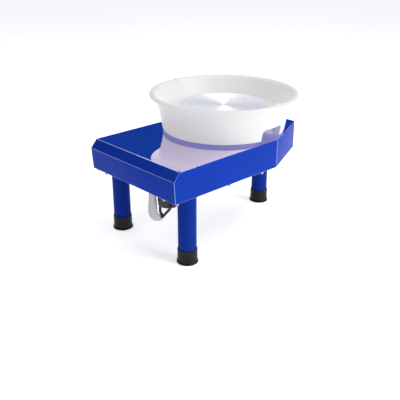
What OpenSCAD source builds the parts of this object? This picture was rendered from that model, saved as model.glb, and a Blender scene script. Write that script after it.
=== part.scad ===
// Electric pottery wheel on three legs: a folded sheet-steel body with a bevelled
// tail, a belt-driven wheel head and a splash basin that comes apart in two halves.
// Lengths are in millimetres and +Z is up. +X runs from the tail to the basin end.
// The origin is on the floor, under the middle of the machine's bounding box.

/* [Body] */
// Width across the two long sides
body_w = 340; // [334:1:350]
// Height of the painted skirt, from its lower edge to the top plate
body_h = 80; // [78:1:84]
// Height of the skirt's lower edge above the floor
body_z = 190; // [170:1:200]
// Distance from the wheel axis to the tail face
tail_x = 333; // [328:1:345]
// Distance from the wheel axis to the flat face at the basin end
end_x = 204; // [203:1:206]
// Distance from the wheel axis to where each long side ends and its corner cut starts
side_end_x = 37; // [20:1:50]
// Width of the flat face at the basin end
end_w = 186; // [180:1:200]
// Length of the tail bevel along the body
bevel_run = 19; // [12:1:24]
// Height of the tail bevel
bevel_drop = 21.5; // [12:0.5:26]
// How far the tail face leans in towards its lower edge
tail_lean = 4; // [0:0.5:6]
// Thickness of the body's sheet steel
sheet = 2; // [1.5:0.1:2.2]

/* [Legs] */
// Outer diameter of a leg tube
leg_d = 48; // [44:1:50]
// Distance from the wheel axis to the two tail legs, along the body
tail_leg_x = 264; // [258:1:268]
// Distance from the centre line to each tail leg
tail_leg_y = 138; // [130:1:138]
// Distance from the wheel axis to the single leg under the basin
front_leg_x = 164; // [150:1:166]
// Height of a rubber foot cap
foot_h = 40; // [34:1:50]

/* [Basin] */
// Outer radius of the basin's rolled rim
rim_r = 206; // [206:1:210]
// Height of the basin, from the top plate to the top of its rim
basin_h = 108; // [104:1:112]
// Thickness of the moulded plastic
basin_wall = 3.5; // [3:0.1:4]
// Width of the hand notch in the basin's foot
notch_w = 80; // [60:1:90]

/* [Wheel] */
// Diameter of the wheel head
head_d = 250; // [240:1:254]
// Thickness of the wheel head
head_t = 12; // [10:1:14]
// Height of the wheel head's working face above the top plate
head_rise = 70; // [68:1:74]
// Diameter of the spindle
spindle_d = 25; // [24:1:25]

/* [Drive] */
// Distance from the wheel axis to the motor axis
motor_x = 207; // [200:1:210]
// Diameter of the motor's case
motor_d = 60; // [54:1:60]
// Height of the motor's lower end above the floor
motor_z = 97; // [94:1:110]
// Radius of the driven pulley's belt face
big_pulley_r = 85; // [80:1:86]
// Radius of the motor pulley's belt face
small_pulley_r = 17; // [16:1:18]
// Thickness of the drive belt
belt_t = 3; // [2:0.5:3.5]

/* [Controls] */
// Length of the control panel on the left long side
panel_l = 204; // [204:1:210]
// Height of the control panel
panel_h = 60; // [54:1:62]

/* [Hidden] */
$fn = 96;

eps = 0.5;                                  // how far a cutting shape passes its target
wheel_x = (tail_x - rim_r) / 2;             // wheel axis, from the middle of the machine
plate_z = body_z + body_h;                  // top face of the top plate
side_y = body_w / 2;
bevel_z = plate_z - bevel_drop;

// corner cuts at the basin end: how far an inset of 1 moves their two ends
cut_dx = end_x - side_end_x;
cut_dy = side_y - end_w / 2;
cut_l = sqrt(cut_dx * cut_dx + cut_dy * cut_dy);
cut_side_shift = (cut_l - cut_dx) / cut_dy;
cut_end_shift = (cut_l - cut_dy) / cut_dx;

// bottom cover and the tabs that it is screwed to
cover_t = 1.6;
cover_z = body_z + 0.2;
cover_top = cover_z + cover_t;
tab_z = cover_top + 0.2;
tab_l = 26;
tab_w = 16;
tab_inset = 6.5;
screw_r = 2.5;
screw_head_r = 4.2;
screw_head_h = 8;
screw_l = 7;
side_screws = [-140, -14];
tail_screw_y = 120;
end_screw_y = 60;

socket_t = 5;
socket_r = 28;
tube_wall = 2;
tube_z = 8;
foot_r = leg_d / 2 + 2;
foot_flare = 2.5;

legs = [[-tail_leg_x, tail_leg_y], [-tail_leg_x, -tail_leg_y], [front_leg_x, 0]];

rim_z = plate_z + basin_h;
basin_z = plate_z + 0.5;
basin_foot_r = 171.5;
basin_foot_in = 21.5;
basin_foot_h = 13.5;
basin_top_r = 186;
lip_h = 11;
floor_z = plate_z + 40;
collar_r = 56;
collar_top = plate_z + 51;
seam_gap = 0.3;
notch_x = 12;
notch_top = floor_z - 1;
notch_r = 10;

head_z = plate_z + head_rise;
hub_r = 35;
hub_h = 16;
shaft_r = spindle_d / 2;
shaft_fit = 0.02;
set_screw_r = 2.5;
set_screw_z = head_z - head_t - hub_h / 2;

bearing_w = 15;
bearing_od = 52;
race_t = 3;
ball_r = 3.2;
ball_count = 9;
ball_pcr = 18.75;
housing_z = body_z + 34;
housing_top = plate_z - sheet;
housing_r = 36;
flange_r = 60;
flange_t = 8;
flange_pcr = 48;
upper_bearing_z = housing_top - 18;
lower_bearing_z = housing_z + 1;

pulley_z = body_z + 12;
pulley_w = 18;
pulley_lip = 2.5;
pulley_lip_t = 1.5;
belt_gap = 0.3;
nut_z = body_z + 4.5;

motor_r = motor_d / 2;
motor_plate_t = 5;
motor_plate_top = cover_top + motor_plate_t;
front_cap_h = 8;
end_cap_h = 14;
rotor_r = 4;
rotor_fit = 0.05;
slot_half = 6;

conduit_a = 137;                            // the conduit's side of the motor, in plan
conduit_x = 44;
conduit_r = 9.5;
conduit_bend = 16;
conduit_bend_z = 75;
conduit_turn = 115;
lead_r = 3.6;
lead_y = 4;

panel_x = -106;
panel_z = plate_z - 40;
panel_t = 2;
panel_y = side_y + panel_t;
inlet_x = -178;
fuse_x = -141;
power_x = -118;
direction_x = -94;
knob_x = -60;
pedal_x = -24;
rocker_r = 8;
rocker_w = 10;
rocker_gap = 0.3;
power_rest = 10;                            // the power rocker's tilt when it is off

box_x = -190;
box_y = 92;
box_l = 150;
box_w = 42;
box_h = 40;
box_z = cover_top;
box_wall = 2;

function arc(cx, cy, rx, ry, from, to, n) =
    [for (i = [0:n]) let (a = from + (to - from) * i / n) [cx + rx * cos(a), cy + ry * sin(a)]];

module at_wheel() { translate([wheel_x, 0, 0]) children(); }

module at_motor() { at_wheel() translate([-motor_x, 0, 0]) children(); }

module ring(r_out, r_in, h) {
    difference() {
        cylinder(r = r_out, h = h);
        translate([0, 0, -eps]) cylinder(r = r_in, h = h + 2 * eps);
    }
}

// ---------------------------------------------------------------- body

module body_plan(inset) {
    side = side_y - inset;
    side_end = side_end_x - inset * cut_side_shift;
    end_half = end_w / 2 - inset * cut_end_shift;
    polygon([
        [-tail_x + inset, side], [-tail_x + inset, -side],
        [side_end, -side], [end_x - inset, -end_half],
        [end_x - inset, end_half], [side_end, side]
    ]);
}

module body_profile(inset, bottom) {
    top = plate_z - inset;
    low = bottom ? body_z : body_z - eps;
    polygon([
        [-tail_x + tail_lean + inset, low], [-tail_x + inset, bevel_z - inset / 2],
        [-tail_x + bevel_run + inset / 2, top], [end_x, top], [end_x, low]
    ]);
}

module body_block(inset, bottom) {
    intersection() {
        translate([0, 0, body_z - 1]) linear_extrude(body_h + 2) body_plan(inset);
        rotate([90, 0, 0]) linear_extrude(body_w + 2, center = true) body_profile(inset, bottom);
    }
}

// every place where the bottom cover is screwed on, with the way its tab points
module at_cover_screws() {
    for (s = [-1, 1]) {
        for (x = side_screws) translate([x, s * (side_y - tab_inset), 0]) rotate(90 * s) children();
        translate([-tail_x + 15, s * (side_y - tab_inset), 0]) rotate(90 * s) children();
        translate([-tail_x + tail_lean + tab_inset, s * tail_screw_y, 0]) rotate(180) children();
        translate([end_x - tab_inset, s * end_screw_y, 0]) children();
    }
}

module cover_tabs() {
    at_cover_screws()
        translate([-tab_w / 2 + 2, -tab_l / 2, tab_z]) cube([tab_w - 2 + tab_inset / 2, tab_l, sheet]);
}

module top_cover() {
    color("#1c43b0") at_wheel() difference() {
        union() {
            difference() {
                body_block(0, true);
                body_block(sheet, false);
            }
            intersection() {
                cover_tabs();
                body_block(sheet / 2, true);
            }
        }
        translate([0, 0, plate_z - sheet - eps]) cylinder(r = 20.2, h = sheet + 2 * eps);
        for (a = [45:90:315]) rotate(a) translate([flange_pcr, 0, plate_z - sheet - eps])
            cylinder(r = 4.2, h = sheet + 2 * eps);
        translate([panel_x - panel_l / 2 + 6, side_y - sheet - eps, panel_z - panel_h / 2 + 8])
            cube([panel_l - 12, sheet + 2 * eps, panel_h - 16]);
        at_cover_screws() translate([0, 0, tab_z - eps]) cylinder(r = screw_r, h = sheet + 2 * eps);
    }
}

module bottom_cover() {
    color("#25272b") at_wheel() difference() {
        translate([0, 0, cover_z]) linear_extrude(cover_t) difference() {
            intersection() {
                body_plan(sheet + 0.6);
                translate([-tail_x + tail_lean + sheet + 0.6, -side_y]) square([tail_x + end_x, body_w]);
            }
            for (p = legs) translate(p) circle(r = leg_d / 2 - tube_wall - 0.3);
            hull() for (d = [-slot_half, slot_half]) translate([-motor_x + d, 0]) circle(r = motor_r + 2);
            translate([-motor_x, 0]) rotate(conduit_a) translate([conduit_x, 0]) circle(r = conduit_r + 3);
        }
        at_cover_screws() translate([0, 0, cover_z - eps]) cylinder(r = screw_r, h = cover_t + 2 * eps);
        motor_plate_holes(cover_z - eps, cover_t + 2 * eps);
    }
}

module pan_screw(r, head_r, head_h, length) {
    difference() {
        union() {
            cylinder(r = head_r, h = head_h * 0.55);
            translate([0, 0, -head_h * 0.45]) cylinder(r1 = head_r * 0.7, r2 = head_r, h = head_h * 0.45);
            cylinder(r = r, h = head_h * 0.55 + length);
        }
        for (a = [0, 90]) rotate(a) translate([-head_r * 0.5, -0.5, -head_h]) cube([head_r, 1, head_h * 0.9]);
    }
}

module cover_screws() {
    color("#c9ccd0") at_wheel() at_cover_screws()
        translate([0, 0, cover_z - 0.55 * screw_head_h])
            pan_screw(screw_r - 0.1, screw_head_r, screw_head_h, screw_l);
}

// ---------------------------------------------------------------- legs

module leg_socket(p) {
    color("#8d9096") at_wheel() translate(p) difference() {
        union() {
            translate([0, 0, cover_top]) cylinder(r = socket_r, h = socket_t);
            translate([0, 0, body_z - 32]) cylinder(r = leg_d / 2 - tube_wall - 0.35, h = 32 + 3);
        }
        translate([0, 0, body_z - 33]) cylinder(r = leg_d / 2 - tube_wall - 5, h = 45);
    }
}

module leg_tube(p) {
    color("#1c3fa8") at_wheel() translate([p[0], p[1], tube_z])
        ring(leg_d / 2, leg_d / 2 - tube_wall, cover_z - tube_z);
}

module foot_cap(p) {
    bore = leg_d / 2 + 0.02;
    color("#17181a") at_wheel() translate(p) rotate_extrude() polygon(concat(
        [[0, 0], [foot_r + foot_flare - 1, 0], [foot_r + foot_flare, 1], [foot_r + foot_flare, 5],
         [foot_r + 0.5, 9], [foot_r, 14]],
        arc(foot_r - 2, foot_h - 2, 2, 2, 0, 90, 5),
        [[bore, foot_h], [bore, tube_z], [0, tube_z]]
    ));
}

// ---------------------------------------------------------------- basin

basin_slope = (basin_top_r - basin_foot_r) / (rim_z - 14 - basin_z - basin_foot_h);
function wall_r(z) = basin_foot_r + (z - basin_z - basin_foot_h) * basin_slope;

module basin_section() {
    foot_z = basin_z + basin_foot_h;
    low_in_z = basin_z + basin_wall;
    floor_top = floor_z + basin_wall;
    polygon(concat(
        [[basin_foot_r - basin_foot_in - 3, basin_z]],
        arc(basin_foot_r - basin_foot_in, foot_z, basin_foot_in, basin_foot_h, -90, 0, 10),
        [[basin_top_r, rim_z - 14]],
        arc(basin_top_r + 3.5, rim_z - 14, 3.5, 14 - lip_h, 180, 90, 4),
        arc(rim_r - lip_h / 2, rim_z - lip_h / 2, lip_h / 2, lip_h / 2, -90, 90, 12),
        arc(rim_r - 9, rim_z - 18, 12, 18, 92, 165, 8),
        [[wall_r(rim_z - 30) - basin_wall, rim_z - 30]],
        arc(wall_r(floor_top) - basin_wall - 12, floor_top + 12, 12, 12, 0, -90, 8),
        [[collar_r + basin_wall + 3, floor_top], [collar_r + basin_wall, floor_top + 3],
         [collar_r + basin_wall, collar_top - 1], [collar_r + basin_wall - 1, collar_top],
         [collar_r, collar_top], [collar_r, floor_z], [wall_r(floor_z) - basin_wall, floor_z],
         [wall_r(foot_z + 1) - basin_wall, foot_z + 1]],
        arc(basin_foot_r - basin_foot_in, foot_z, basin_foot_in - basin_wall,
            basin_foot_h - basin_wall, 0, -90, 10),
        [[basin_foot_r - basin_foot_in - 3, low_in_z]]
    ));
}

module hand_notch() {
    translate([notch_x, -rim_r + 10, 0]) rotate([-90, 0, 0]) mirror([0, 1, 0]) linear_extrude(70) union() {
        translate([-notch_w / 2, basin_z - eps]) square([notch_w, notch_top - basin_z - notch_r + eps]);
        translate([-notch_w / 2 + notch_r, basin_z]) square([notch_w - 2 * notch_r, notch_top - basin_z]);
        for (s = [-1, 1]) translate([s * (notch_w / 2 - notch_r), notch_top - notch_r]) circle(r = notch_r);
    }
}

module basin_half(side) {
    color("#f4f4f2") at_wheel() difference() {
        intersection() {
            rotate_extrude($fn = 180) basin_section();
            translate([side * (rim_r + seam_gap / 2), 0, basin_z + 100])
                cube([2 * rim_r, 3 * rim_r, 300], center = true);
        }
        hand_notch();
    }
}

// a saddle over the rim at each end of the seam, fixed to the end half
module basin_clips() {
    color("#fafaf8") at_wheel() for (a = [90, -90]) rotate(a - 3) rotate_extrude(angle = 6) polygon([
        [rim_r - 22, rim_z - 4], [rim_r - 19, rim_z + 1], [rim_r - 17, rim_z + 2],
        [rim_r - 8, rim_z + 2], [rim_r - 8, rim_z + 0.7], [rim_r - 16, rim_z + 0.7], [rim_r - 18.5, rim_z - 4]
    ]);
}

// ---------------------------------------------------------------- wheel and spindle

module wheel_head() {
    r = head_d / 2;
    bore = shaft_r + shaft_fit;
    color("#c4c7ca") at_wheel() difference() {
        rotate_extrude($fn = 180) polygon(concat(
            [[0, head_z], [r - 1.5, head_z]],
            arc(r - 1.5, head_z - 1.5, 1.5, 1.5, 90, 0, 4),
            [[r, head_z - head_t + 2], [r - 2, head_z - head_t], [hub_r + 4, head_z - head_t],
             [hub_r, head_z - head_t - 4], [hub_r, head_z - head_t - hub_h],
             [bore, head_z - head_t - hub_h], [bore, head_z - 8], [0, head_z - 8]]
        ));
        for (g = [25:20:105]) rotate_extrude($fn = 180)
            polygon([[g - 0.7, head_z + 0.1], [g + 0.7, head_z + 0.1], [g, head_z - 0.8]]);
        for (a = [0:120:240]) rotate(a) translate([0, 0, set_screw_z])
            rotate([0, 90, 0]) cylinder(r = set_screw_r, h = 2 * hub_r);
    }
}

// set screws that lock the head's hub to the spindle
module head_screws() {
    color("#3c3e42") at_wheel() for (a = [0:120:240]) rotate(a)
        translate([shaft_r + 0.15, 0, set_screw_z]) rotate([0, 90, 0]) difference() {
            cylinder(r = set_screw_r - 0.1, h = hub_r - shaft_r - 2);
            translate([0, 0, hub_r - shaft_r - 5]) cylinder(r = 1.4, h = 4, $fn = 6);
        }
}

module spindle() {
    color("#b9bcc0") at_wheel() {
        translate([0, 0, body_z + 3]) cylinder(r = shaft_r, h = head_z - 8.5 - body_z - 3);
        translate([0, 0, lower_bearing_z + bearing_w]) cylinder(r = shaft_r + 3,
            h = upper_bearing_z - lower_bearing_z - bearing_w);
    }
}

module spindle_nut() {
    color("#a9acb0") at_wheel() translate([0, 0, nut_z]) difference() {
        cylinder(r = 19, h = pulley_z - nut_z - 2, $fn = 6);
        translate([0, 0, -eps]) cylinder(r = shaft_r + shaft_fit, h = 12);
    }
}

// a small cone that throws water off the spindle, above the shaft seal
module water_slinger() {
    color("#2b2d30") at_wheel() rotate_extrude() polygon([
        [shaft_r + shaft_fit, plate_z + 8], [shaft_r + 4, plate_z + 8], [34, plate_z + 5],
        [34, plate_z + 7], [shaft_r + 5, plate_z + 11], [shaft_r + 5, plate_z + 18],
        [shaft_r + shaft_fit, plate_z + 18]
    ]);
}

module shaft_seal() {
    color("#1b1c1e") at_wheel() rotate_extrude() polygon([
        [shaft_r + 0.35, plate_z + 0.3], [20, plate_z - sheet], [20, plate_z], [24, plate_z],
        [24, plate_z + 1.5], [17, plate_z + 4], [shaft_r + 0.35, plate_z + 4]
    ]);
}

// ---------------------------------------------------------------- bearings

module bearing_housing() {
    seat = bearing_od / 2 + shaft_fit;
    color("#7c8085") at_wheel() difference() {
        union() {
            translate([0, 0, housing_z]) cylinder(r = housing_r, h = housing_top - housing_z);
            translate([0, 0, housing_top - flange_t]) cylinder(r = flange_r, h = flange_t);
        }
        translate([0, 0, housing_z - eps]) cylinder(r = 22, h = body_h);
        translate([0, 0, housing_z - eps])
            cylinder(r = seat, h = lower_bearing_z + bearing_w - housing_z + eps);
        translate([0, 0, upper_bearing_z]) cylinder(r = seat, h = body_h);
        for (a = [45:90:315]) rotate(a) translate([flange_pcr, 0, housing_top - flange_t - eps])
            cylinder(r = 4.2, h = flange_t + 2 * eps);
    }
}

module housing_bolts() {
    color("#c9ccd0") at_wheel() for (a = [45:90:315]) rotate(a) translate([flange_pcr, 0, 0]) {
        translate([0, 0, plate_z]) cylinder(r1 = 8, r2 = 6, h = 3);
        translate([0, 0, housing_top - flange_t - 8])
            cylinder(r = 4, h = plate_z - housing_top + flange_t + 8);
        translate([0, 0, housing_top - flange_t - 6.5]) cylinder(r = 7.5, h = 6.5, $fn = 6);
    }
}

module bearing_outer(z) {
    color("#a4a7ab") at_wheel() translate([0, 0, z]) {
        ring(bearing_od / 2, bearing_od / 2 - race_t - 1, bearing_w);
        for (s = [0.3, bearing_w - 1.1]) translate([0, 0, s])
            ring(bearing_od / 2 - race_t, shaft_r + race_t + 0.4, 0.8);
    }
}

module bearing_inner(z) {
    color("#bfc2c6") at_wheel() translate([0, 0, z]) ring(shaft_r + race_t, shaft_r + shaft_fit, bearing_w);
}

module bearing_balls() {
    color("#d8dadd") at_wheel() for (z = [lower_bearing_z, upper_bearing_z], i = [1:ball_count])
        rotate(i * 360 / ball_count) translate([ball_pcr, 0, z + bearing_w / 2]) sphere(r = ball_r, $fn = 32);
}

// ---------------------------------------------------------------- belt drive

module pulley(r, hub, bore) {
    translate([0, 0, pulley_z]) difference() {
        union() {
            cylinder(r = r, h = pulley_w);
            for (z = [0, pulley_w - pulley_lip_t]) translate([0, 0, z])
                cylinder(r = r + pulley_lip, h = pulley_lip_t);
            translate([0, 0, -2]) cylinder(r = hub, h = pulley_w + 4);
        }
        translate([0, 0, -2 - eps]) cylinder(r = bore, h = pulley_w + 4 + 2 * eps);
    }
}

module driven_pulley() {
    color("#9a9da2") at_wheel() difference() {
        pulley(big_pulley_r, 22, shaft_r + shaft_fit);
        for (z = [pulley_z - eps, pulley_z + pulley_w - 6]) translate([0, 0, z])
            ring(big_pulley_r - 7, 24, 6 + eps);
        for (a = [0:60:300]) rotate(a) translate([50, 0, pulley_z]) cylinder(r = 15, h = pulley_w);
    }
}

module motor_pulley() {
    color("#b4b7bb") at_motor() difference() {
        pulley(small_pulley_r, 12, rotor_r + shaft_fit);
        translate([0, 0, pulley_z + pulley_w + 0.2]) rotate([0, 90, 0]) cylinder(r = 1.2, h = 14);
    }
}

// outline of a band round both pulleys: two circles and the quadrilateral between them
module belt_outline(grow) {
    big = big_pulley_r + grow;
    small = small_pulley_r + grow;
    lean = acos((big_pulley_r - small_pulley_r) / motor_x);
    translate([0, 0]) circle(r = big, $fn = 180);
    translate([-motor_x, 0]) circle(r = small);
    polygon([
        for (s = [1, -1]) [big * cos(180 - s * lean), big * sin(180 - s * lean)],
        for (s = [-1, 1]) [-motor_x + small * cos(180 - s * lean), small * sin(180 - s * lean)]
    ]);
}

module drive_belt() {
    color("#202124") at_wheel() translate([0, 0, pulley_z + pulley_lip_t + 0.6])
        linear_extrude(pulley_w - 2 * pulley_lip_t - 1.2) difference() {
            belt_outline(belt_gap + belt_t);
            belt_outline(belt_gap);
        }
}

// ---------------------------------------------------------------- motor

module motor_plate_holes(z, h) {
    for (x = [-52, 52], y = [-34, 34]) translate([-motor_x + x, y, z]) cylinder(r = 3.2, h = h);
}

module motor_plate() {
    color("#6f7378") at_wheel() difference() {
        translate([-motor_x - 62, -44, cover_top]) cube([124, 88, motor_plate_t]);
        motor_plate_holes(cover_top - eps, motor_plate_t + 2 * eps);
        translate([-motor_x, 0, cover_top - eps]) cylinder(r = 11, h = motor_plate_t + 2 * eps);
        for (s = [-1, 1]) translate([-motor_x, s * 20, cover_top - eps])
            cylinder(r = 2.6, h = motor_plate_t + 2 * eps);
        translate([-motor_x, 0, cover_top - eps]) rotate(conduit_a) translate([conduit_x, 0, 0])
            cylinder(r = conduit_r + 3, h = motor_plate_t + 2 * eps);
    }
}

module motor_plate_bolts() {
    color("#c9ccd0") at_motor() {
        for (x = [-52, 52], y = [-34, 34]) translate([x, y, 0]) {
            translate([0, 0, cover_z - 3.5]) cylinder(r = 5.5, h = 3.5, $fn = 6);
            translate([0, 0, cover_z]) cylinder(r = 3, h = motor_plate_top - cover_z + 5);
            translate([0, 0, motor_plate_top]) cylinder(r = 5.5, h = 4, $fn = 6);
        }
        for (s = [-1, 1]) translate([0, s * 20, 0]) {
            translate([0, 0, cover_top - 6]) cylinder(r = 2.5, h = motor_plate_t + 6);
            translate([0, 0, motor_plate_top]) cylinder(r = 4.4, h = 3);
        }
    }
}

module motor_front_cap() {
    color("#9ea2a7") at_motor() translate([0, 0, cover_top - front_cap_h]) difference() {
        cylinder(r = motor_r - 0.5, h = front_cap_h);
        translate([0, 0, -eps]) cylinder(r = rotor_r + rotor_fit, h = front_cap_h + 2 * eps);
        for (s = [-1, 1]) translate([0, s * 20, 2]) cylinder(r = 2.55, h = front_cap_h);
    }
}

module motor_case() {
    color("#141517") at_motor() translate([0, 0, motor_z + end_cap_h])
        ring(motor_r, motor_r - 2, cover_top - front_cap_h - motor_z - end_cap_h);
}

module motor_end_cap() {
    color("#1b1c1f") at_motor() difference() {
        translate([0, 0, motor_z]) rotate_extrude() polygon(concat(
            [[0, 0]], arc(motor_r - 6, 5, 5, 5, -90, 0, 6), [[motor_r - 1, end_cap_h], [0, end_cap_h]]
        ));
        translate([0, 0, motor_z + 6]) cylinder(r = rotor_r + rotor_fit, h = end_cap_h);
        for (a = [47, 227]) rotate(a) translate([motor_r - 9, 0, motor_z + 8]) rotate([0, 90, 0])
            cylinder(r = 3.6, h = 12);
    }
}

module motor_rotor() {
    color("#a06a3c") at_motor() {
        translate([0, 0, motor_z + 6.5]) cylinder(r = rotor_r, h = pulley_z + pulley_w + 4 - motor_z - 6.5);
        translate([0, 0, motor_z + 32]) cylinder(r = motor_r - 6, h = 40);
        translate([0, 0, motor_z + 18]) cylinder(r = 11, h = 10);
    }
}

module motor_brush_caps() {
    color("#2a2b2e") at_motor() for (a = [47, 227]) rotate(a)
        translate([motor_r - 8.8, 0, motor_z + 8]) rotate([0, 90, 0]) difference() {
            cylinder(r = 3.5, h = 9.8);
            translate([-2.5, -0.5, 9]) cube([5, 1, 1]);
        }
}

// ---------------------------------------------------------------- leads

module at_conduit() { at_motor() rotate(conduit_a) children(); }

module rod(a, b, r) {
    d = b - a;
    l = norm(d);
    translate(a) rotate([0, acos(d[2] / l), atan2(d[1], d[0])]) cylinder(r = r, h = l, $fn = 24);
}

// the sheath drops from the body and turns under the motor, towards its leads
module lead_conduit() {
    color("#d5d7d9") at_conduit() union() {
        translate([conduit_x, 0, conduit_bend_z])
            cylinder(r = conduit_r, h = motor_plate_top + 6 - conduit_bend_z);
        translate([conduit_x - conduit_bend, 0, conduit_bend_z]) rotate([-90, 0, 0])
            rotate_extrude(angle = conduit_turn) translate([conduit_bend, 0]) circle(r = conduit_r, $fn = 48);
    }
}

// a lead that leaves the sheath's end face squarely and rises to the motor's end cap
module motor_lead(y, knee, top_x) {
    mouth = [conduit_x - conduit_bend + conduit_bend * cos(conduit_turn), y,
             conduit_bend_z - conduit_bend * sin(conduit_turn)];
    out = mouth + 4 * [-sin(conduit_turn), 0, -cos(conduit_turn)];
    rod(mouth, out, lead_r);
    translate(out) sphere(r = lead_r + 0.15, $fn = 24);
    rod(out, knee, lead_r);
    translate(knee) sphere(r = lead_r + 0.15, $fn = 24);
    rod(knee, [top_x, knee[1], motor_z], lead_r);
}

module motor_leads() {
    color("#101113") at_conduit() {
        motor_lead(-lead_y, [24, -lead_y, 74], 24);
        motor_lead(lead_y, [-3, lead_y, 86], -3);
    }
}

module conduit_grommet() {
    color("#1a1b1d") at_conduit() translate([conduit_x, 0, cover_z]) difference() {
        union() {
            translate([0, 0, -2.5]) cylinder(r = conduit_r + 4, h = 2.5);
            cylinder(r = conduit_r + 3, h = motor_plate_top - cover_z);
            translate([0, 0, motor_plate_top - cover_z]) cylinder(r = conduit_r + 5, h = 2);
        }
        translate([0, 0, -4]) cylinder(r = conduit_r + 0.02, h = 16);
    }
}

// from the top of the conduit to the controller box
module wiring_loom() {
    start = [-motor_x + conduit_x * cos(conduit_a), conduit_x * sin(conduit_a), motor_plate_top + 6];
    turn = start + [0, 0, 10];
    gate = [box_x + 20, box_y, turn[2]];
    color("#18191b") at_wheel() union() {
        translate(start) cylinder(r = 5, h = 15);
        rod(turn, gate - [0, 4, 0], 4.5);
        translate(gate - [0, 12, 0]) rotate([-90, 0, 0]) cylinder(r = 6, h = 12);
    }
}

// ---------------------------------------------------------------- controls

module on_panel(x) { at_wheel() translate([x, panel_y, panel_z]) rotate([-90, 0, 0]) children(); }

module plate_box(l, w, z0, z1) { translate([-l / 2, -w / 2, z0]) cube([l, w, z1 - z0]); }

module control_panel() {
    color("#191a1d") on_panel(panel_x) difference() {
        plate_box(panel_l, panel_h, -panel_t, 0);
        translate([inlet_x - panel_x, 0, 0]) plate_box(46.2, 26.2, -3, 1);
        translate([fuse_x - panel_x, 0, -3]) cylinder(r = 6.1, h = 4);
        for (x = [power_x, direction_x]) translate([x - panel_x, 0, 0]) plate_box(13.2, 19.2, -3, 1);
        translate([knob_x - panel_x, 0, -3]) cylinder(r = 4.6, h = 4);
        translate([pedal_x - panel_x, 0, -3]) cylinder(r = 9.1, h = 4);
        panel_screw_places() translate([0, 0, -3]) cylinder(r = 1.8, h = 4);
    }
}

module panel_screw_places() {
    for (x = [-1, 1], y = [-1, 1])
        translate([x * (panel_l / 2 - 4), y * (panel_h / 2 - 4), 0]) children();
}

module panel_screws() {
    color("#c9ccd0") on_panel(panel_x) panel_screw_places() difference() {
        union() {
            translate([0, 0, -panel_t]) cylinder(r = 1.7, h = panel_t);
            cylinder(r1 = 3.2, r2 = 2.2, h = 1.8);
        }
        for (a = [0, 90]) rotate(a) translate([-1.6, -0.35, 1.2]) cube([3.2, 0.7, 1]);
    }
}

module mains_inlet() {
    color("#121315") on_panel(inlet_x) difference() {
        union() {
            plate_box(46, 26, -30, 0);
            plate_box(50, 30, 0, 2.2);
        }
        plate_box(24.5, 16.5, -14, 3);
        for (x = [-7, 7]) translate([x, -1.5, 0]) plate_box(2.2, 4.2, -22, -13);
        translate([0, 2.5, 0]) plate_box(2.2, 4.2, -22, -13);
    }
}

module inlet_pins() {
    color("#c8a656") on_panel(inlet_x) {
        for (x = [-7, 7]) translate([x, -1.5, 0]) plate_box(2, 4, -22, -3);
        translate([0, 2.5, 0]) plate_box(2, 4, -22, -3);
    }
}

module fuse_cap() {
    color("#151618") on_panel(fuse_x) difference() {
        union() {
            translate([0, 0, -24]) cylinder(r = 6, h = 24);
            cylinder(r = 8, h = 2.5);
            cylinder(r = 6, h = 8);
        }
        translate([-4, -0.7, 6.6]) cube([8, 1.4, 2]);
    }
}

module switch_case(x) {
    color("#141517") on_panel(x) difference() {
        union() {
            plate_box(13, 19, -22, 0);
            plate_box(15.4, 21.4, 0, 1.8);
        }
        plate_box(rocker_w + 2 * rocker_gap, 2 * (rocker_r + rocker_gap), -9, 3);
        rotate([0, 90, 0]) cylinder(r = 1.55, h = 12.4, center = true, $fn = 48);
    }
}

module rocker(x, tilt, paint) {
    color(paint) on_panel(x) rotate([tilt, 0, 0]) {
        intersection() {
            rotate([0, 90, 0]) cylinder(r = rocker_r, h = rocker_w, center = true);
            rotate([90, 0, 90]) linear_extrude(rocker_w, center = true)
                polygon([[-8, -4], [8, -4], [8, 5.4], [0, 3.6], [-8, 5.4]]);
        }
        rotate([0, 90, 0]) cylinder(r = 1.5, h = 12.2, center = true, $fn = 48);
    }
}

module speed_control() {
    color("#8f9398") on_panel(knob_x) difference() {
        union() {
            translate([0, 0, -20]) cylinder(r = 12, h = 20 - panel_t);
            translate([0, 0, -panel_t]) cylinder(r = 4.5, h = panel_t);
            cylinder(r = 6, h = 2, $fn = 6);
        }
        translate([0, 0, -18]) cylinder(r = 3.05, h = 30);
    }
}

module speed_knob() {
    color("#1d1e21") on_panel(knob_x) difference() {
        union() {
            translate([0, 0, 3]) rotate_extrude() polygon(concat(
                [[0, 0], [18, 0], [18, 3], [14.5, 4.5]],
                arc(12.5, 15, 1.6, 1.6, 5, 90, 4), [[0, 16.6]]));
            translate([0, 0, -17.5]) cylinder(r = 3, h = 21);
        }
        for (a = [15:15:345]) rotate(a) translate([15.3, 0, 7.6]) cylinder(r = 1.3, h = 13, $fn = 24);
        rotate(-30) translate([-0.7, 4, 18.8]) cube([1.4, 9, 2]);
    }
}

module pedal_socket() {
    color("#8d9196") on_panel(pedal_x) difference() {
        union() {
            translate([0, 0, -22]) cylinder(r = 9, h = 22);
            cylinder(r = 12, h = 2.5);
        }
        translate([0, 0, -10]) cylinder(r = 6, h = 13);
        for (i = [0:2]) rotate(i * 90) translate([3.2, 0, -14]) cylinder(r = 0.9, h = 5, $fn = 24);
    }
}

module controller_box() {
    color("#9b9ea3") at_wheel() translate([box_x, box_y, box_z]) difference() {
        cube([box_l, box_w, box_h]);
        translate([box_wall, box_wall, box_wall]) cube([box_l - 2 * box_wall, box_w - 2 * box_wall, box_h]);
    }
}

module controller_lid() {
    color("#a8abaf") at_wheel() translate([box_x, box_y, box_z + box_h]) {
        cube([box_l, box_w, 2]);
        for (i = [0:8]) translate([15 + i * 15, 2, 2]) cube([2, box_w - 4, 8]);
    }
}

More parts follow.
